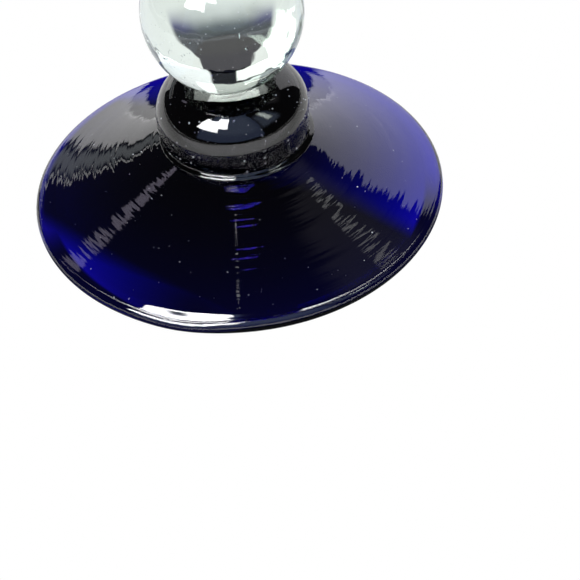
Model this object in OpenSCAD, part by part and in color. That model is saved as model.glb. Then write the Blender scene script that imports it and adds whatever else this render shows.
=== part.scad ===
// Glass candlestick: a cobalt foot, a clear solid ball and a cobalt candle cup, joined hot in one column.
// Millimetres, +Z up, origin at the middle of the circle the foot stands on.

/* [Foot] */
// Radius of the round foot at its rim
foot_r = 37.5; // [33:0.5:44]
// Thickness of the rounded rim of the foot
rim_t = 3.6; // [2.8:0.2:4.6]
// How far in the rolled top of the rim reaches
rim_roll = 3.2; // [2:0.2:4.4]
// Height of the seat where the slope of the foot ends
slope_h = 13; // [11:0.5:17]
// How far the slope of the foot sinks below a straight cone
slope_dip = 0.5; // [0:0.1:1]
// Height of the cone-shaped hollow under the middle of the foot
hollow_h = 3; // [2:0.5:5]
// Width of the ring the foot rests on
rest_w = 2.4; // [1.2:0.2:3.6]

/* [Lower knop] */
// Radius of the seat shared by the foot, the collar and the knop
seat_r = 12.9; // [11:0.1:13.2]
// Thickness of the collar between the foot and the knop
collar_t = 1.6; // [1:0.1:2.4]
// How far the collar stands out past its seat
collar_out = 0.8; // [0.4:0.1:1.4]
// Largest radius of the lower knop
knop_r = 13.35; // [13.3:0.05:15]
// Radius of the rounded shoulder of the lower knop
shoulder_r = 7; // [5:0.25:7.5]
// Height of the side of the lower knop, up to its shoulder
knop_side_h = 4.2; // [3:0.2:6]

/* [Clear ball] */
// Radius of the clear ball
ball_r = 13.35; // [11:0.05:16]
// Radius of the clear necks that are sunk in the two knops
neck_r = 5; // [3.5:0.25:5.25]
// Depth of the clear neck in the lower knop
neck_depth = 7; // [5.5:0.5:9]
// Depth of the clear neck in the upper knop
top_neck_depth = 5.5; // [5.5:0.25:6.5]

/* [Upper knop] */
// Radius of the upper knop
top_knop_r = 11; // [10:0.25:13]
// Height of the upper knop
top_knop_h = 9; // [8:0.5:12]

/* [Candle cup] */
// Radius of the round hole for the candle
socket_r = 11.3; // [11:0.1:12]
// Depth of the round hole for the candle
socket_depth = 22; // [18:1:26]
// Thickness of the wall of the cup around the candle
cup_wall = 3.4; // [2.6:0.2:4.6]
// Thickness of the solid floor of the cup
cup_floor = 6; // [5:0.5:9]
// Height of the flared lip above the candle hole
lip_h = 9.5; // [7:0.5:13]
// Radius of the flared lip
lip_r = 19.5; // [18.5:0.5:26]

/* [Hidden] */
$fn = 128;
steps = 16;
ball_side = sqrt(ball_r * ball_r - neck_r * neck_r);
collar_z = slope_h;
knop_z = slope_h + collar_t;
shoulder_z = knop_z + knop_side_h;
knop_top = shoulder_z + shoulder_r;
ball_z = knop_top + ball_side;
top_knop_z = ball_z + ball_side;
cup_z = top_knop_z + top_knop_h;
socket_floor = cup_z + cup_floor;
socket_mouth = socket_floor + socket_depth;
cup_r = socket_r + cup_wall;
cup_top = socket_mouth + lip_h;
lip_t = 2.8;
flare_h = lip_h + 4; // the outside starts to flare a little below the mouth of the candle hole
bowl_h = cup_floor + 2;
top_seat_r = 7.5;

// The underside of the foot ends at rim_edge_r, and the roll of the rim ends at roll_r and roll_z
rim_edge_r = foot_r - rim_t / 2;
rim_turn = 60;
roll_r = foot_r - rim_roll * (1 - cos(rim_turn));
roll_z = rim_t / 2 * (1 + sin(rim_turn));

cobalt = [0.03, 0.05, 0.42];
clear = [0.86, 0.93, 0.90];

module foot() {
  color(cobalt) rotate_extrude() difference() {
    polygon(concat(
      [[0, 0], [rim_edge_r, 0]],
      [for (a = [-75 : 15 : 0]) [rim_edge_r + rim_t / 2 * cos(a), rim_t / 2 * (1 + sin(a))]],
      [for (a = [15 : 15 : rim_turn]) [foot_r - rim_roll * (1 - cos(a)), rim_t / 2 * (1 + sin(a))]],
      [for (i = [1 : steps]) let (t = i / steps)
        [roll_r + (seat_r - roll_r) * t,
         roll_z + (slope_h - roll_z) * t - slope_dip * 4 * t * (1 - t)]],
      [[0, slope_h]]
    ));
    polygon([[-1, -1], [rim_edge_r - rest_w, -1], [rim_edge_r - rest_w, 0], [0, hollow_h], [-1, hollow_h]]);
  }
}

module foot_collar() {
  color(cobalt) rotate_extrude() polygon(concat(
    [[0, collar_z], [seat_r, collar_z]],
    [for (a = [-75 : 15 : 75]) [seat_r + collar_out * cos(a), collar_z + collar_t / 2 * (1 + sin(a))]],
    [[seat_r, knop_z], [0, knop_z]]
  ));
}

// Round-ended pocket that the clear neck fills; up is 1 for a pocket entered from above
module neck(z, depth, up) {
  translate([0, 0, z]) mirror([0, 0, up > 0 ? 1 : 0]) union() {
    cylinder(r = neck_r, h = depth - neck_r);
    translate([0, 0, depth - neck_r]) sphere(r = neck_r);
  }
}

module foot_knop() {
  color(cobalt) difference() {
    rotate_extrude() polygon(concat(
      [[0, knop_z]],
      [for (a = [90 : -15 : 15])
        [seat_r + (knop_r - seat_r) * cos(a), shoulder_z - (shoulder_z - knop_z) * sin(a)]],
      [for (a = [0 : 6 : 90])
        [knop_r - shoulder_r + shoulder_r * cos(a), shoulder_z + shoulder_r * sin(a)]],
      [[0, knop_top]]
    ));
    neck(knop_top, neck_depth, 1);
  }
}

module ball_stem() {
  color(clear) union() {
    translate([0, 0, ball_z]) sphere(r = ball_r);
    neck(knop_top, neck_depth, 1);
    neck(top_knop_z, top_neck_depth, -1);
    translate([0, 0, knop_top]) cylinder(r = neck_r, h = top_knop_z - knop_top);
  }
}

module top_knop() {
  color(cobalt) difference() {
    rotate_extrude() polygon(concat(
      [[0, top_knop_z]],
      [for (a = [-90 : 10 : 90])
        [top_seat_r + (top_knop_r - top_seat_r) * cos(a), top_knop_z + top_knop_h / 2 * (1 + sin(a))]],
      [[0, cup_z]]
    ));
    neck(top_knop_z, top_neck_depth, -1);
  }
}

module candle_cup() {
  color(cobalt) rotate_extrude() polygon(concat(
    [[0, cup_z]],
    // Rounded bottom of the bowl
    [for (a = [0 : 10 : 90])
      [top_seat_r + (cup_r - top_seat_r) * sin(a), cup_z + bowl_h * (1 - cos(a))]],
    // Outside of the flared lip
    [for (i = [0 : steps]) let (t = i / steps)
      [cup_r + (lip_r - lip_t / 2 - cup_r) * t * t,
       cup_top - flare_h + (flare_h - lip_t) * t]],
    // Rounded edge of the lip
    [for (a = [-60 : 30 : 60]) [lip_r - lip_t / 2 + lip_t / 2 * cos(a), cup_top - lip_t / 2 * (1 - sin(a))]],
    // Inside of the flared lip, down to the candle hole
    [for (i = [0 : steps]) let (t = 1 - i / steps)
      [socket_r + (lip_r - lip_t / 2 - socket_r) * t * t, socket_mouth + lip_h * t]],
    [[socket_r, socket_floor], [0, socket_floor]]
  ));
}

foot();
foot_collar();
foot_knop();
ball_stem();
top_knop();
candle_cup();
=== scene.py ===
"""Glass candlestick: hand-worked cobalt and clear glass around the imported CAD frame.

Lengths are in millimetres until a mesh is made. A turned piece is an outline of (radius, height)
points that runs from the axis, round the outside and back to the axis.
"""

import math

import bmesh
import bpy
import numpy as np
from mathutils import Matrix, Vector


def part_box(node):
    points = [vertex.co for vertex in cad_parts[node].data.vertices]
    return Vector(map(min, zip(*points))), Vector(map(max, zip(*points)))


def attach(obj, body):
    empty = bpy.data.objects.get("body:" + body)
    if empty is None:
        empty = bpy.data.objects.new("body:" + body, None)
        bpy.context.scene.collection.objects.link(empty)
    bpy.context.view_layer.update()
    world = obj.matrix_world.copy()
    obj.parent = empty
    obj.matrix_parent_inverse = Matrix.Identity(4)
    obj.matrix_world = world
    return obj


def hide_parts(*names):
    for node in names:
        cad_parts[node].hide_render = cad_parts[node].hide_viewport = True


MM = 0.001
TAU = 2 * math.pi

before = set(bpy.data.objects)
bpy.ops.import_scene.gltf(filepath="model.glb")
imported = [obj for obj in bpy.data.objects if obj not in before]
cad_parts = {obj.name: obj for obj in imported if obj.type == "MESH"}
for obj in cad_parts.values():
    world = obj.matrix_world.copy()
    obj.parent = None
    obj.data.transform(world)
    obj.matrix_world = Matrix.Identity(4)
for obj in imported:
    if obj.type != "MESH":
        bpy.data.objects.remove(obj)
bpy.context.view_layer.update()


def cad(node):
    """Largest radius, bottom and top of a CAD node, in millimetres."""
    low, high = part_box(node)
    return high[0] / MM, low[2] / MM, high[2] / MM


# ---------------------------------------------------------------- sizes

FOOT_R, _, SEAT_Z = cad("foot")
COLLAR_R, _, KNOP_Z = cad("foot_collar")
KNOP_R, _, KNOP_TOP = cad("foot_knop")
TOP_KNOP_R, TOP_KNOP_Z, CUP_Z = cad("top_knop")
LIP_R, _, CUP_TOP = cad("candle_cup")

BALL_Z = (KNOP_TOP + TOP_KNOP_Z) / 2     # middle of the clear ball
NECK_R = 5.0                             # clear necks where the ball meets the knops
BALL_R = math.hypot(NECK_R, (TOP_KNOP_Z - KNOP_TOP) / 2)
NECK_DEPTH = 7.0                         # lower neck, sunk in the lower knop
TOP_NECK_DEPTH = 5.5                     # upper neck, sunk in the upper knop

RIM_T = 3.6                              # rounded rim of the foot
RIM_ROLL = 3.2                           # how far in the rolled top of the rim reaches
RIM_TURN = 60                            # the roll runs into the slope at this angle, in degrees
REST_W = 2.4                             # ring that the foot rests on
HOLLOW_H = 3.0                           # cone-shaped hollow under the foot
SLOPE_DIP = 0.5                          # the slope sinks this far below a straight cone
FLAT_TURN, FLAT_WIDTH = -20, 12          # flat on the rim: degrees round from the front, half width
FLAT_IN, FLAT_OUT, LEDGE_OUT = 35.4, 36.4, 36.9     # radii where the flat begins, it ends, the ledge ends
FLAT_STEEP, LEDGE_STEEP = 0.7, 0.45      # the flat is this much steeper than the roll, the ledge less so
SEAT_R = 12.9                            # shared by the foot, the collar and the knop
SHOULDER_R = 7.0                         # rounded shoulder of the lower knop
TOP_SEAT_R = 7.5                         # where the upper knop meets the cup
SOCKET_R = 11.3                          # candle hole
SOCKET_DEPTH = 22.0
CUP_R = SOCKET_R + 3.4                   # with the wall of the cup
SOCKET_FLOOR = CUP_Z + 6.0
SOCKET_MOUTH = SOCKET_FLOOR + SOCKET_DEPTH
BOWL_H = 8.0                             # rounded bottom of the cup
FLARE_BELOW = 4.0                        # the outside flares from this far below the mouth of the hole
LIP_T = 2.8
JOINT_GAP = 0.01                         # between two joined pieces, so that no faces coincide


# ---------------------------------------------------------------- mesh helpers

def bell(x, middle, width):
    return np.exp(-((x - middle) / width) ** 2)


def lean(z):
    """Sideways drift of the column with height: it was built up by hand and is not quite true."""
    return (0.45 * bell(z, 13.6, 1.7) + 0.22 * bell(z, 22.5, 4.0)
            + 0.25 * bell(z, 62.0, 14.0), 0.12 * bell(z, 60.0, 16.0))


def waves(rng, along, angle, lengths, tilt):
    """Uneven ripples left by the tools: tilt is about the steepest slope of each wave, as a ratio."""
    height = np.zeros_like(along)
    for length in lengths:
        turns = rng.integers(-1, 2)
        sway = rng.uniform(0.4, 1.6) * np.sin(rng.integers(1, 4) * angle + rng.uniform(0, TAU))
        sway = sway + rng.uniform(0.2, 0.9) * np.sin(rng.integers(4, 9) * angle + rng.uniform(0, TAU))
        swell = 0.55 + 0.45 * np.sin(along * rng.uniform(0.3, 0.9) + rng.integers(1, 5) * angle
                                     + rng.uniform(0, TAU))
        phase = TAU * along / length + turns * angle + sway + rng.uniform(0, TAU)
        height += tilt * rng.uniform(0.6, 1.2) * length / TAU * swell * np.sin(phase)
    return height


def dimples(rng, points, size, depth, count=14):
    """Soft random unevenness of a surface, from plane waves in all directions."""
    height = np.zeros(len(points))
    for _ in range(count):
        way = rng.normal(size=3)
        way *= TAU / (size * rng.uniform(0.7, 1.6)) / np.linalg.norm(way)
        height += np.sin(points @ way + rng.uniform(0, TAU))
    return height * depth / math.sqrt(count)


def arc(mid_r, mid_z, radius, start, end, steps, squeeze=1.0):
    """Points round an arc, angles in degrees from straight out; squeeze scales its height."""
    turn = np.radians(np.linspace(start, end, steps + 1))
    return [(mid_r + radius * math.cos(a), mid_z + radius * squeeze * math.sin(a)) for a in turn]


def finely(outline, step):
    """The same outline with points at most step apart."""
    fine = [outline[0]]
    for start, end in zip(outline, outline[1:]):
        parts = max(1, math.ceil(math.dist(start, end) / step))
        for i in range(1, parts + 1):
            t = i / parts
            fine.append((start[0] + (end[0] - start[0]) * t, start[1] + (end[1] - start[1]) * t))
    return fine


def turned(name, parts, segments=288, relief=None):
    """A body of revolution. parts is a list of (outline, material); relief moves its points."""
    ring_r, ring_z, band_material = [], [], []
    materials = []
    for outline, material in parts:
        if material not in materials:
            materials.append(material)
        for r, z in outline if not ring_r else outline[1:]:
            if ring_r:
                band_material.append(materials.index(material))
            ring_r.append(max(r, 0.0))
            ring_z.append(z)
    angle = np.arange(segments) * TAU / segments
    rings = len(ring_r)
    r = np.repeat(ring_r, segments).reshape(rings, segments)
    z = np.repeat(ring_z, segments).reshape(rings, segments)
    a = np.tile(angle, (rings, 1))
    along = np.concatenate([[0.0], np.cumsum(np.hypot(np.diff(ring_r), np.diff(ring_z)))])
    if relief:
        r, z = relief(r, z, a, np.repeat(along, segments).reshape(rings, segments))
    dx, dy = lean(z)
    points = np.stack([r * np.cos(a) + dx, r * np.sin(a) + dy, z], axis=-1)

    mesh_points, ring_ids = [], []
    for i in range(rings):
        if ring_r[i] < 1e-6:
            ring_ids.append([len(mesh_points)] * segments)
            mesh_points.append(points[i].mean(axis=0))
        else:
            ring_ids.append(list(range(len(mesh_points), len(mesh_points) + segments)))
            mesh_points.extend(points[i])
    faces, face_material = [], []
    for i in range(rings - 1):
        low, high = ring_ids[i], ring_ids[i + 1]
        for k in range(segments):
            j = (k + 1) % segments
            corners = list(dict.fromkeys((low[k], low[j], high[j], high[k])))
            if len(corners) > 2:
                faces.append(corners)
                face_material.append(band_material[i])
    mesh = bpy.data.meshes.new(name)
    mesh.from_pydata((np.array(mesh_points) * MM).tolist(), [], faces)
    mesh.polygons.foreach_set("material_index", face_material)
    mesh.polygons.foreach_set("use_smooth", [True] * len(faces))
    for material in materials:
        mesh.materials.append(material)
    mesh.update()
    mesh.validate()
    return shown(name, mesh)


def shown(name, mesh):
    piece = bpy.data.objects.new(name, mesh)
    bpy.context.scene.collection.objects.link(piece)
    return piece


# ---------------------------------------------------------------- materials

def node_material(name):
    material = bpy.data.materials.new(name)
    material.use_nodes = True
    tree = material.node_tree
    return material, tree, tree.nodes["Principled BSDF"]


def noise(tree, scale, detail, place, roughness=0.5):
    texture = tree.nodes.new("ShaderNodeTexNoise")
    texture.inputs["Scale"].default_value = scale
    texture.inputs["Detail"].default_value = detail
    texture.inputs["Roughness"].default_value = roughness
    tree.links.new(place, texture.inputs["Vector"])
    return texture.outputs["Fac"]


def remap(tree, value, low, high, to_low, to_high):
    node = tree.nodes.new("ShaderNodeMapRange")
    for socket, number in (("From Min", low), ("From Max", high), ("To Min", to_low), ("To Max", to_high)):
        node.inputs[socket].default_value = number
    tree.links.new(value, node.inputs["Value"])
    return node.outputs["Result"]


def glass(name, ior, absorb, density, haze=0.03, bump=0.0):
    """Solid coloured glass. absorb is the colour that passes; haze is its cloudiest roughness."""
    material, tree, shader = node_material(name)
    shader.inputs["Base Color"].default_value = (1, 1, 1, 1)
    shader.inputs["IOR"].default_value = ior
    shader.inputs["Transmission Weight"].default_value = 1
    shader.inputs["Roughness"].default_value = 0
    if haze:
        place = tree.nodes.new("ShaderNodeTexCoord").outputs["Object"]
        smears = noise(tree, 160, 4, place)
        tree.links.new(remap(tree, smears, 0.45, 0.8, 0.0, haze), shader.inputs["Roughness"])
        if bump:
            grain = tree.nodes.new("ShaderNodeBump")
            grain.inputs["Strength"].default_value = 1
            grain.inputs["Distance"].default_value = bump
            tree.links.new(noise(tree, 900, 3, place), grain.inputs["Height"])
            tree.links.new(grain.outputs["Normal"], shader.inputs["Normal"])
    volume = tree.nodes.new("ShaderNodeVolumeAbsorption")
    volume.inputs["Color"].default_value = (*absorb, 1)
    volume.inputs["Density"].default_value = density
    tree.links.new(volume.outputs["Volume"], tree.nodes["Material Output"].inputs["Volume"])
    return material


GLASS_IOR = 1.5
COBALT_IOR = 1.56
COBALT_PASS = (0.15, 0.0, 0.80)
COBALT_DENSITY = 1600
CLEAR_PASS = (0.25, 0.62, 0.32)
CLEAR_DENSITY = 10

cobalt = glass("cobalt_glass", COBALT_IOR, COBALT_PASS, COBALT_DENSITY, bump=0.0000002)
cobalt_joint = glass("cobalt_joint", 1.0, COBALT_PASS, COBALT_DENSITY, haze=0)
clear = glass("clear_glass", GLASS_IOR, CLEAR_PASS, CLEAR_DENSITY, haze=0.02, bump=0.000002)
clear_joint = glass("clear_joint", 1.0, CLEAR_PASS, CLEAR_DENSITY, haze=0)


def seed_material():
    material, tree, shader = node_material("seed")
    place = tree.nodes.new("ShaderNodeTexCoord").outputs["Object"]
    shader.inputs["Base Color"].default_value = (0.8, 0.85, 0.9, 1)
    shader.inputs["Transmission Weight"].default_value = 0.4
    tree.links.new(remap(tree, noise(tree, 3000, 2, place), 0.3, 0.7, 0.25, 0.6),
                   shader.inputs["Roughness"])
    return material


seed = seed_material()


# ---------------------------------------------------------------- glass pieces

def slope_outline(edge, low):
    """Top of the foot, from the rim in to the seat."""
    return [(edge + (SEAT_R - edge) * t,
             low + (SEAT_Z - low) * t - SLOPE_DIP * 4 * t * (1 - t)) for t in np.linspace(0, 1, 30)]


def make_foot():
    rng = np.random.default_rng(11)
    edge = FOOT_R - RIM_T / 2
    rest = edge - REST_W
    under = finely([(0, HOLLOW_H), (rest, 0.15), (rest + 0.3, 0), (edge, 0)], 0.9)
    roll = [(FOOT_R - RIM_ROLL + RIM_ROLL * math.cos(a), RIM_T / 2 * (1 + math.sin(a)))
            for a in np.radians(np.linspace(0, RIM_TURN, 48))]
    rim = arc(edge, RIM_T / 2, RIM_T / 2, -90, 0, 20) + roll[1:]
    slope = finely(slope_outline(*roll[-1]), 0.12)
    seat = finely([(SEAT_R, SEAT_Z), (0, SEAT_Z)], 2.0)

    def relief(r, z, angle, along):
        start = rest + 6
        reach = np.clip((r - SEAT_R) / 1.5, 0, 1) * np.clip((along - start) / 2, 0, 1)
        top = (z > RIM_T * 0.5) * reach * (1 - np.clip(1.12 * np.sin(angle), 0, 1))
        height = (waves(rng, along, angle, (0.55, 0.65, 0.8, 1.0, 1.3), 0.018)
                  + waves(rng, along, angle, (1.9, 2.9, 4.3, 6.8), 0.02))
        below = (z <= RIM_T * 0.5) * np.clip((rest - r) / 3, 0, 1)
        scar = 0.15 * bell(r, 0, 4.0) * (0.6 + 0.4 * np.sin(3 * angle + 1.0)) * np.clip(r / 3, 0, 1)
        under_height = waves(rng, along, angle, (2.5, 4.0, 7.0), 0.02) - scar
        seated = np.abs(z - SEAT_Z) < 1e-6
        out_of_round = 0.0025 * np.sin(2 * angle + 0.6) + 0.0012 * np.sin(3 * angle)
        out_of_round = out_of_round * np.clip((r - SEAT_R) / 12, 0, 1)
        # at the front the rolled rim has a flat worn on it, with a narrow ledge below
        front = ((1 - np.sin(angle)) / 2) ** 2
        flat = bell(np.arctan2(np.cos(angle), -np.sin(angle)), math.radians(FLAT_TURN),
                    math.radians(FLAT_WIDTH))
        cut = (FLAT_STEEP * (np.clip(r, FLAT_IN, FLAT_OUT) - FLAT_IN) * flat
               - LEDGE_STEEP * (np.clip(r, FLAT_OUT, LEDGE_OUT) - FLAT_OUT) * front)
        edge_cut = (FLAT_STEEP * (FLAT_OUT - FLAT_IN) * flat
                    - LEDGE_STEEP * (LEDGE_OUT - FLAT_OUT) * front) * z / (RIM_T / 2)
        cut = np.where(z > RIM_T / 2, cut, edge_cut * (r > rest))
        z = z + np.where(seated, 0, height * top) + under_height * below - cut
        return r * (1 - 0.0015 + out_of_round * 0.6 - 0.022 * front * np.clip((r - 28) / 8, 0, 1)), z

    foot = turned("foot_glass", [(under + rim[1:], cobalt), (slope, cobalt), (seat, cobalt_joint)],
                  288, relief)
    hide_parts("foot")
    return foot


def make_collar():
    rng = np.random.default_rng(12)
    base = SEAT_Z + JOINT_GAP
    height = KNOP_Z - base
    bottom = finely([(0, base), (SEAT_R, base)], 1.0)
    edge = [(SEAT_R + (COLLAR_R - SEAT_R) * math.cos(a) ** 2, base + height * (0.5 + a / math.pi))
            for a in np.linspace(-math.pi / 2, math.pi / 2, 28)]
    top = finely([(SEAT_R, KNOP_Z), (0, KNOP_Z)], 1.0)

    def relief(r, z, angle, along):
        swell = np.clip((r - SEAT_R) / 0.3, 0, 1)
        return r + swell * (0.12 * np.sin(angle + 0.4) + waves(rng, along, angle, (3.0,), 0.05)
                            + waves(rng, along, angle, (0.55,), 0.14)), z

    collar = turned("collar_glass", [(bottom, cobalt_joint), (edge, cobalt), (top, cobalt_joint)],
                    288, relief)
    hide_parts("foot_collar")
    return collar


def pocket(z, depth, way, radius):
    """Round-ended pocket from its mouth at z down to the axis; way is -1 down or 1 up."""
    reach = depth - radius
    side = finely([(radius, z), (radius, z + way * reach)], 0.5)
    end = [(radius * math.cos(a), z + way * (reach + radius * math.sin(a)))
           for a in np.linspace(0, math.pi / 2, 20)]
    return side + end[1:]


def make_knop():
    rng = np.random.default_rng(13)
    base = KNOP_Z + JOINT_GAP
    shoulder_z = KNOP_TOP - SHOULDER_R
    bottom = finely([(0, base), (SEAT_R, base)], 1.0)
    side = [(SEAT_R + (KNOP_R - SEAT_R) * math.cos(a), shoulder_z - (shoulder_z - base) * math.sin(a))
            for a in np.linspace(math.pi / 2, 0, 16)]
    shoulder = arc(KNOP_R - SHOULDER_R, shoulder_z, SHOULDER_R, 0, 90, 40)
    top = [(KNOP_R - SHOULDER_R, KNOP_TOP), (NECK_R, KNOP_TOP)]
    outside = finely(side + shoulder[1:] + top[1:], 0.3)

    def relief(r, z, angle, along):
        rise = np.clip((z - base) / 3, 0, 1) * np.clip((r - NECK_R) / 2, 0, 1)
        height = waves(rng, along, angle, (2.0, 3.1, 4.7), 0.006)
        return r + rise * height, z

    knop = turned("knop_glass", [(bottom, cobalt_joint), (outside, cobalt),
                                 (pocket(KNOP_TOP, NECK_DEPTH, -1, NECK_R), cobalt_joint)], 288, relief)
    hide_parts("foot_knop")
    return knop


def make_ball():
    rng = np.random.default_rng(14)
    meet = math.degrees(math.asin((TOP_KNOP_Z - KNOP_TOP) / 2 / BALL_R))
    inner = NECK_R - JOINT_GAP
    low_neck = pocket(KNOP_TOP, NECK_DEPTH - JOINT_GAP, -1, inner)[::-1]
    high_neck = pocket(TOP_KNOP_Z, TOP_NECK_DEPTH - JOINT_GAP, 1, inner)
    skin = finely(arc(0, BALL_Z, BALL_R, -meet, meet, 90), 0.3)

    def relief(r, z, angle, along):
        points = np.stack([r * np.cos(angle), r * np.sin(angle), z], axis=-1).reshape(-1, 3)
        bumps = dimples(rng, points, 9.0, 0.05) + dimples(rng, points, 2.6, 0.014)
        bumps = bumps.reshape(r.shape) + (dimples(rng, points, 1.1, 0.006).reshape(r.shape)
                                          * np.clip((BALL_Z - 2 - z) / 8, 0, 1))
        facing = np.arctan2(np.sin(angle + 0.15), np.cos(angle + 0.15))
        cords = 0.016 * np.sin(27 * angle + 2.0 * np.sin(0.45 * z) + 1.2 * np.sin(0.21 * z))
        bumps = bumps + cords * (bell(facing, 0, 0.45) + 0.7 * bell(np.abs(facing), math.pi, 0.4))
        open_skin = np.clip((r - NECK_R) / 2.5, 0, 1)
        return r + open_skin * bumps, z

    ball = turned("ball_glass", [(low_neck, clear_joint), (skin, clear), (high_neck, clear_joint)],
                  256, relief)
    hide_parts("ball_stem")
    return ball


def make_top_knop():
    rng = np.random.default_rng(15)
    height = CUP_Z - TOP_KNOP_Z
    skin = [(TOP_SEAT_R + (TOP_KNOP_R - TOP_SEAT_R) * math.cos(a),
             TOP_KNOP_Z + height / 2 * (1 + math.sin(a)))
            for a in np.linspace(-math.pi / 2, math.pi / 2, 40)]
    under = finely([(NECK_R, TOP_KNOP_Z), (TOP_SEAT_R, TOP_KNOP_Z)], 0.5)
    top = finely([(TOP_SEAT_R, CUP_Z), (0, CUP_Z)], 1.0)

    def relief(r, z, angle, along):
        swell = np.clip((r - TOP_SEAT_R) / 1.5, 0, 1)
        return r + swell * waves(rng, along, angle, (2.2, 3.5, 5.0), 0.008), z

    knop = turned("top_knop_glass", [(pocket(TOP_KNOP_Z, TOP_NECK_DEPTH, 1, NECK_R)[::-1], cobalt_joint),
                                     (under + skin[1:], cobalt), (top, cobalt_joint)], 256, relief)
    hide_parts("top_knop")
    return knop


def make_cup():
    rng = np.random.default_rng(16)
    base = CUP_Z + JOINT_GAP
    lip_h = CUP_TOP - SOCKET_MOUTH
    flare = LIP_R - LIP_T / 2
    bottom = finely([(0, base), (TOP_SEAT_R, base)], 1.0)
    side = [(TOP_SEAT_R + (CUP_R - TOP_SEAT_R) * math.sin(a), base + BOWL_H * (1 - math.cos(a)))
            for a in np.linspace(0, math.pi / 2, 24)]
    outside = [(CUP_R + (flare - CUP_R) * t * t,
                SOCKET_MOUTH - FLARE_BELOW + (lip_h + FLARE_BELOW - LIP_T) * t)
               for t in np.linspace(0, 1, 30)]
    edge = arc(flare, CUP_TOP - LIP_T / 2, LIP_T / 2, -80, 80, 16)
    inside = [(SOCKET_R + (flare - SOCKET_R) * t * t, SOCKET_MOUTH + lip_h * t)
              for t in np.linspace(1, 0, 30)]
    hole = [(SOCKET_R, SOCKET_FLOOR + 1), (SOCKET_R - 0.4, SOCKET_FLOOR + 0.3),
            (SOCKET_R - 1.2, SOCKET_FLOOR), (0, SOCKET_FLOOR)]
    skin = finely(side + outside + edge + inside + hole, 0.35)

    def relief(r, z, angle, along):
        free = np.clip((z - base - 1) / 4, 0, 1)
        outer = np.where(r > SOCKET_R + 0.05, 1.0, 0.15)
        height = waves(rng, along, angle, (1.3, 2.1, 3.6, 6.0), 0.01)
        high = np.clip((z - SOCKET_MOUTH) / 9, 0, 1)
        droop = high * (0.35 * np.sin(2 * angle + 0.7) + 0.2 * np.sin(3 * angle + 2.0))
        return r + free * outer * height, z + droop - 0.4 * high

    cup = turned("cup_glass", [(bottom, cobalt_joint), (skin, cobalt)], 288, relief)
    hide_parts("candle_cup")
    return cup


def sprinkle(name, piece, count, small, large, deepest, rng, band):
    """Seeds and specks in the glass: small stretched beads scattered at the skin of a piece, between
    the two heights of band, down to deepest below it."""
    mesh = piece.data
    corners = np.array([v.co for v in mesh.vertices]) / MM
    skin = [material in (cobalt, clear) for material in mesh.materials]
    faces = [p for p in mesh.polygons if skin[p.material_index]
             and band[0] < p.center.z / MM < band[1] and p.normal.z > -0.9]
    areas = np.array([p.area for p in faces])
    beads = bmesh.new()
    for face in rng.choice(len(faces), size=count, p=areas / areas.sum()):
        polygon = faces[face]
        weights = rng.dirichlet(np.ones(len(polygon.vertices)))
        middle = weights @ corners[list(polygon.vertices)]
        middle = middle - np.array(polygon.normal) * deepest * rng.random() ** 2
        size = small + (large - small) * rng.random() ** 3
        turn = Matrix.Rotation(rng.uniform(0, TAU), 4, Vector(rng.normal(size=3)))
        stretch = Matrix.Diagonal((1, 1, rng.uniform(1.0, 2.4), 1))
        place = Matrix.Translation(Vector(middle) * MM) @ turn @ stretch
        bmesh.ops.create_icosphere(beads, subdivisions=1, radius=size * MM / 2, matrix=place)
    bead_mesh = bpy.data.meshes.new(name)
    beads.to_mesh(bead_mesh)
    beads.free()
    for polygon in bead_mesh.polygons:
        polygon.use_smooth = True
    bead_mesh.materials.append(seed)
    return shown(name, bead_mesh)


SMALLEST_SEED = 0.08

# Each piece, its material slot, and the count, largest size, greatest depth and heights of its seeds
PIECES = (
    (make_foot, "cobalt_glass", (120, 0.20, 0.3, (3.0, 13.0))),
    (make_collar, "cobalt_glass", None),
    (make_knop, "cobalt_glass", (280, 0.24, 0.3, (15.0, 26.0))),
    (make_ball, "clear_glass", (520, 0.14, 0.8, (25.5, 47.0))),
    (make_top_knop, "cobalt_glass", (60, 0.26, 0.3, (51.0, 59.0))),
    (make_cup, "cobalt_glass", (260, 0.30, 0.4, (61.0, 97.0))),
)

for maker, slot, seeds in PIECES:
    piece = maker()
    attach(piece, "root")
    if seeds:
        count, large, deepest, band = seeds
        beads = sprinkle(piece.name.replace("glass", "seeds"), piece, count, SMALLEST_SEED, large,
                         deepest, np.random.default_rng(count), band)
        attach(beads, "root")


# ---------------------------------------------------------------- room, floor and camera

def calculate(tree, kind, first, second=None, third=None):
    """Math node; each value is a number or an output. Returns its output."""
    node = tree.nodes.new("ShaderNodeMath")
    node.operation = kind
    for socket, value in zip(node.inputs, (first, second, third)):
        if value is None:
            continue
        if isinstance(value, (int, float)):
            socket.default_value = value
        else:
            tree.links.new(value, socket)
    return node.outputs["Value"]


def product(tree, first, *others):
    for other in others:
        first = calculate(tree, "MULTIPLY", first, other)
    return first


def blend(tree, share, first, second):
    """The first colour where share is 0 and the second where it is 1."""
    node = tree.nodes.new("ShaderNodeMix")
    node.data_type = "RGBA"
    tree.links.new(share, node.inputs["Factor"])
    for socket, colour in ((node.inputs[6], first), (node.inputs[7], second)):
        if isinstance(colour, tuple):
            socket.default_value = (*colour, 1)
        else:
            tree.links.new(colour, socket)
    return node.outputs[2]


def ramp(tree, value, start, end):
    """0 at start and 1 at end, smooth between and level beyond; end may be below start."""
    node = tree.nodes.new("ShaderNodeMapRange")
    node.interpolation_type = "SMOOTHSTEP"
    for socket, number in (("From Min", min(start, end)), ("From Max", max(start, end)),
                           ("To Min", float(start > end)), ("To Max", float(start < end))):
        node.inputs[socket].default_value = number
    tree.links.new(value, node.inputs["Value"])
    return node.outputs["Result"]


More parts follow.
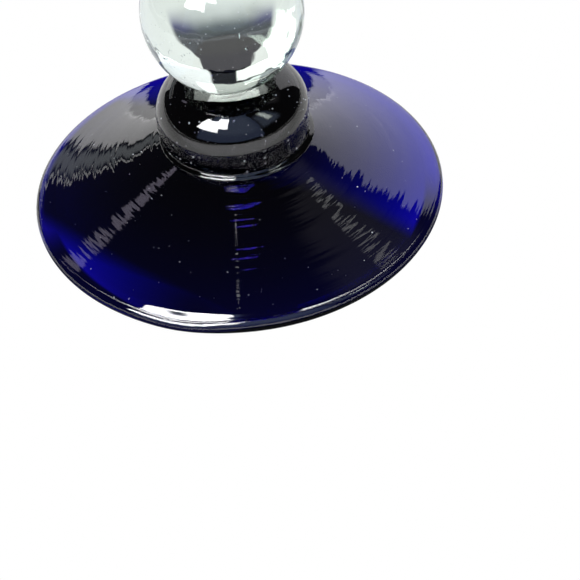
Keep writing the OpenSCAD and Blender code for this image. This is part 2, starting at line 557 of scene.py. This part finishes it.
def between(tree, value, low, high, soft):
    """1 from low to high and 0 outside, with soft edges."""
    return product(tree, ramp(tree, value, low - soft, low + soft),
                   ramp(tree, value, high + soft, high - soft))


def seen_directly(tree):
    """1 for what the camera sees without going through or off the glass."""
    return tree.nodes.new("ShaderNodeLightPath").outputs["Is Camera Ray"]


PALE = (1.0, 1.0, 1.0)                   # floor and background as the camera sees them
FLOOR_TONE = (0.95, 0.95, 0.95)          # floor as the glass sees it
BAND_TURN = math.radians(-42.5)          # direction of the dark band under the foot
BAND_NEAR, BAND_FAR = -28.5, 7.0         # its two edges, across it
# tone of the dark band under the foot, and of the painted shadow and painted contact shadow there
BAND_AND_SHADOW_TONE = (0.045, 0.05, 0.06)
CONTACT_IN, CONTACT_OUT = 33.2, 41.0     # radii of the painted contact shadow ring under the front of the rim
SHADE_START = 68.0                       # where the painted shadow behind the candlestick begins


def make_floor():
    """Pale floor. What shows through the glass has a shaded patch behind the candlestick, and a dark
    band and a shadow under the foot, as the photographed table has."""
    bpy.ops.mesh.primitive_circle_add(vertices=96, radius=1.6, fill_type="NGON")
    floor = bpy.context.object
    floor.name = "floor"
    material, tree, shader = node_material("floor")
    shader.inputs["Base Color"].default_value = (0, 0, 0, 1)
    shader.inputs["Roughness"].default_value = 0.8
    shader.inputs["Specular IOR Level"].default_value = 0
    place = tree.nodes.new("ShaderNodeSeparateXYZ")
    tree.links.new(tree.nodes.new("ShaderNodeTexCoord").outputs["Object"], place.inputs["Vector"])
    x = calculate(tree, "DIVIDE", place.outputs["X"], MM)
    y = calculate(tree, "DIVIDE", place.outputs["Y"], MM)
    off_middle = calculate(tree, "ABSOLUTE", x)
    across = calculate(tree, "ADD", product(tree, x, -math.sin(BAND_TURN)),
                       product(tree, y, math.cos(BAND_TURN)))
    along = calculate(tree, "ADD", product(tree, x, math.cos(BAND_TURN)),
                      product(tree, y, math.sin(BAND_TURN)))
    reach = calculate(tree, "SQRT", calculate(tree, "ADD", product(tree, x, x), product(tree, y, y)))

    # the dark band and the painted shadow under the foot, and the thin painted contact shadow round its
    # front
    under = ramp(tree, reach, 37, 35)
    band = product(tree, ramp(tree, across, BAND_NEAR - 3.5, BAND_NEAR + 3.5),
                   ramp(tree, across, BAND_FAR + 2.5, BAND_FAR - 2.5))
    shadow = product(tree, ramp(tree, across, 0, BAND_NEAR), ramp(tree, along, -18, 14))
    dark = product(tree, under, calculate(tree, "MAXIMUM", band, shadow))
    rest = product(tree, between(tree, reach, CONTACT_IN, CONTACT_OUT, 0.5), ramp(tree, y, 0, -14))
    dark = calculate(tree, "MAXIMUM", dark, rest)

    # painted shadow behind the candlestick, which widens away from the foot; its tone is tinted blue at
    # the near sides and darker further away
    width = calculate(tree, "MINIMUM", calculate(tree, "MULTIPLY_ADD", y, 0.28, 10.0), 40.0)
    width = calculate(tree, "MAXIMUM", product(tree, y, 0.22), width)
    side = calculate(tree, "SUBTRACT", off_middle, width)
    shade = product(tree, ramp(tree, side, 3, -3), ramp(tree, y, SHADE_START - 16, SHADE_START + 8))
    near_tone = blend(tree, ramp(tree, off_middle, 8, 24), (0.17, 0.18, 0.18), (0.11, 0.10, 0.24))
    shade_tone = blend(tree, ramp(tree, y, SHADE_START, SHADE_START + 16), near_tone, (0.09, 0.09, 0.10))
    shade_tone = blend(tree, ramp(tree, y, 88, 96), shade_tone, (0.03, 0.03, 0.03))
    shade_tone = blend(tree, ramp(tree, y, 110, 170), shade_tone, (0.008, 0.008, 0.014))
    aside = calculate(tree, "SUBTRACT", off_middle, product(tree, calculate(tree, "MAXIMUM", y, 0.0), 0.6))
    # painted light on the floor: brighter in front of the foot and under it, and dimmer far to the sides
    lit = blend(tree, ramp(tree, y, -10, -60), FLOOR_TONE, (1.7, 1.7, 1.75))
    lit = blend(tree, ramp(tree, aside, 190, 260), lit, (0.3, 0.3, 0.3))
    lit = blend(tree, under, lit, (1.25, 1.25, 1.25))
    tone = blend(tree, shade, lit, shade_tone)
    tone = blend(tree, dark, tone, BAND_AND_SHADOW_TONE)
    tree.links.new(blend(tree, seen_directly(tree), tone, PALE), shader.inputs["Emission Color"])
    shader.inputs["Emission Strength"].default_value = 1
    floor.data.materials.append(material)


def make_room():
    """The room that the glass reflects, as light by direction. Angles are in degrees: bearing 0 is
    towards the camera, +90 is +X, and height is above the horizon."""
    world = bpy.data.worlds.new("room")
    bpy.context.scene.world = world
    world.use_nodes = True
    tree = world.node_tree
    background = tree.nodes["Background"]
    way = tree.nodes.new("ShaderNodeSeparateXYZ")
    tree.links.new(tree.nodes.new("ShaderNodeTexCoord").outputs["Generated"], way.inputs["Vector"])
    height = product(tree, calculate(tree, "ARCSINE", way.outputs["Z"]), 180 / math.pi)
    bearing = calculate(tree, "ARCTAN2", way.outputs["X"], product(tree, way.outputs["Y"], -1.0))
    bearing = product(tree, bearing, 180 / math.pi)
    total = None
    for middle, width, low, high, colour, soft in ROOM:
        off = calculate(tree, "WRAP", calculate(tree, "SUBTRACT", bearing, middle), 180.0, -180.0)
        mask = product(tree, between(tree, off, -width / 2, width / 2, soft),
                       between(tree, height, low, high, soft))
        shade = tree.nodes.new("ShaderNodeVectorMath")
        shade.operation = "SCALE"
        shade.inputs[0].default_value = colour
        tree.links.new(mask, shade.inputs["Scale"])
        if total is None:
            total = shade.outputs["Vector"]
            continue
        both = tree.nodes.new("ShaderNodeVectorMath")
        both.operation = "ADD"
        tree.links.new(total, both.inputs[0])
        tree.links.new(shade.outputs["Vector"], both.inputs[1])
        total = both.outputs["Vector"]
    tree.links.new(blend(tree, seen_directly(tree), total, PALE), background.inputs["Color"])
    background.inputs["Strength"].default_value = 1


# Bearing, width, lowest, highest, colour and softness of each patch of light
ROOM = (
    (0, 330, -95, 0, (1.1, 1.1, 1.1), 1.0),            # white table and its far surroundings
    (0, 400, 0, 95, (0.03, 0.03, 0.035), 0.5),         # dark room
    (151, 38, -1, 41, (1.2, 1.2, 1.25), 1.0),          # white backdrop, behind on the right
    (-158.5, 33, -1, 11, (1.4, 1.4, 1.4), 0.8),        # white backdrop, behind on the left
    (180, 40, 14, 46, (0.75, 0.78, 0.75), 1.0),        # wall behind
    (-150, 40, 13, 18, (0.5, 0.54, 0.56), 1.2),        # wall behind, lower left
    (-150, 40, 19.6, 20.6, (1.5, 1.5, 1.5), 0.4),      # bright ledge
    (-126.8, 5, 39, 46, (1.1, 1.0, 1.3), 0.6),         # lit edge on the left
    (118, 3, 50, 58, (1.1, 1.1, 1.1), 0.6),            # lit edge on the right
    (118, 26, 45, 70, (0.12, 0.12, 0.13), 5.0),        # soft glow round it
    (-86, 24, 86.5, 87.2, (2.6, 2.6, 2.6), 0.25),      # lamp overhead
    (-8, 96, 6, 75, (0.3, 0.4, 0.72), 2.0),            # blue-grey wall behind the camera
    (-8, 80, 26, 75, (0.22, 0.26, 0.3), 9.0),          # its brighter upper part
    (60, 34, 27, 60, (0.4, 0.5, 0.72), 5.0),           # the same wall, further right
    (64, 10, 38, 62, (5.0, 5.5, 5.0), 3.0),            # dim lamp on the right
    (-46, 34, 30, 58, (22.0, 22.0, 22.0), 1.5),        # window, left part
    (-26.5, 25, 42, 69, (22.0, 22.0, 22.0), 1.5),      # window, right part
    (180, 84, 48, 74, (3.4, 3.4, 3.4), 3.0),           # lit ceiling behind
    (184, 46, 56, 72, (11.0, 11.0, 11.0), 2.0),        # ceiling lamp
)

# Distance from the origin in metres, angles in degrees and lens in millimetres
CAMERA_DISTANCE = 0.21683
CAMERA_ELEVATION = 40.55
CAMERA_PAN = -1.937
CAMERA_TILT = -5.094
CAMERA_ROLL = -5.672
CAMERA_LENS = 72.37


def make_camera():
    camera = bpy.data.objects.new("camera", bpy.data.cameras.new("camera"))
    bpy.context.scene.collection.objects.link(camera)
    camera.data.sensor_width = 36
    camera.data.lens = CAMERA_LENS
    camera.data.clip_start = 0.01
    rise = math.radians(CAMERA_ELEVATION)
    place = Vector((0, -CAMERA_DISTANCE * math.cos(rise), CAMERA_DISTANCE * math.sin(rise)))
    aim = Matrix.Rotation(math.pi / 2 - rise, 4, "X")
    aim = aim @ Matrix.Rotation(math.radians(CAMERA_PAN), 4, "Y")
    aim = aim @ Matrix.Rotation(math.radians(CAMERA_TILT), 4, "X")
    aim = aim @ Matrix.Rotation(math.radians(CAMERA_ROLL), 4, "Z")
    camera.matrix_world = Matrix.Translation(place) @ aim
    bpy.context.scene.camera = camera


make_floor()
make_room()
make_camera()

scene = bpy.context.scene
scene.view_settings.view_transform = "Standard"
scene.cycles.max_bounces = 24
scene.cycles.transmission_bounces = 24
scene.cycles.glossy_bounces = 12
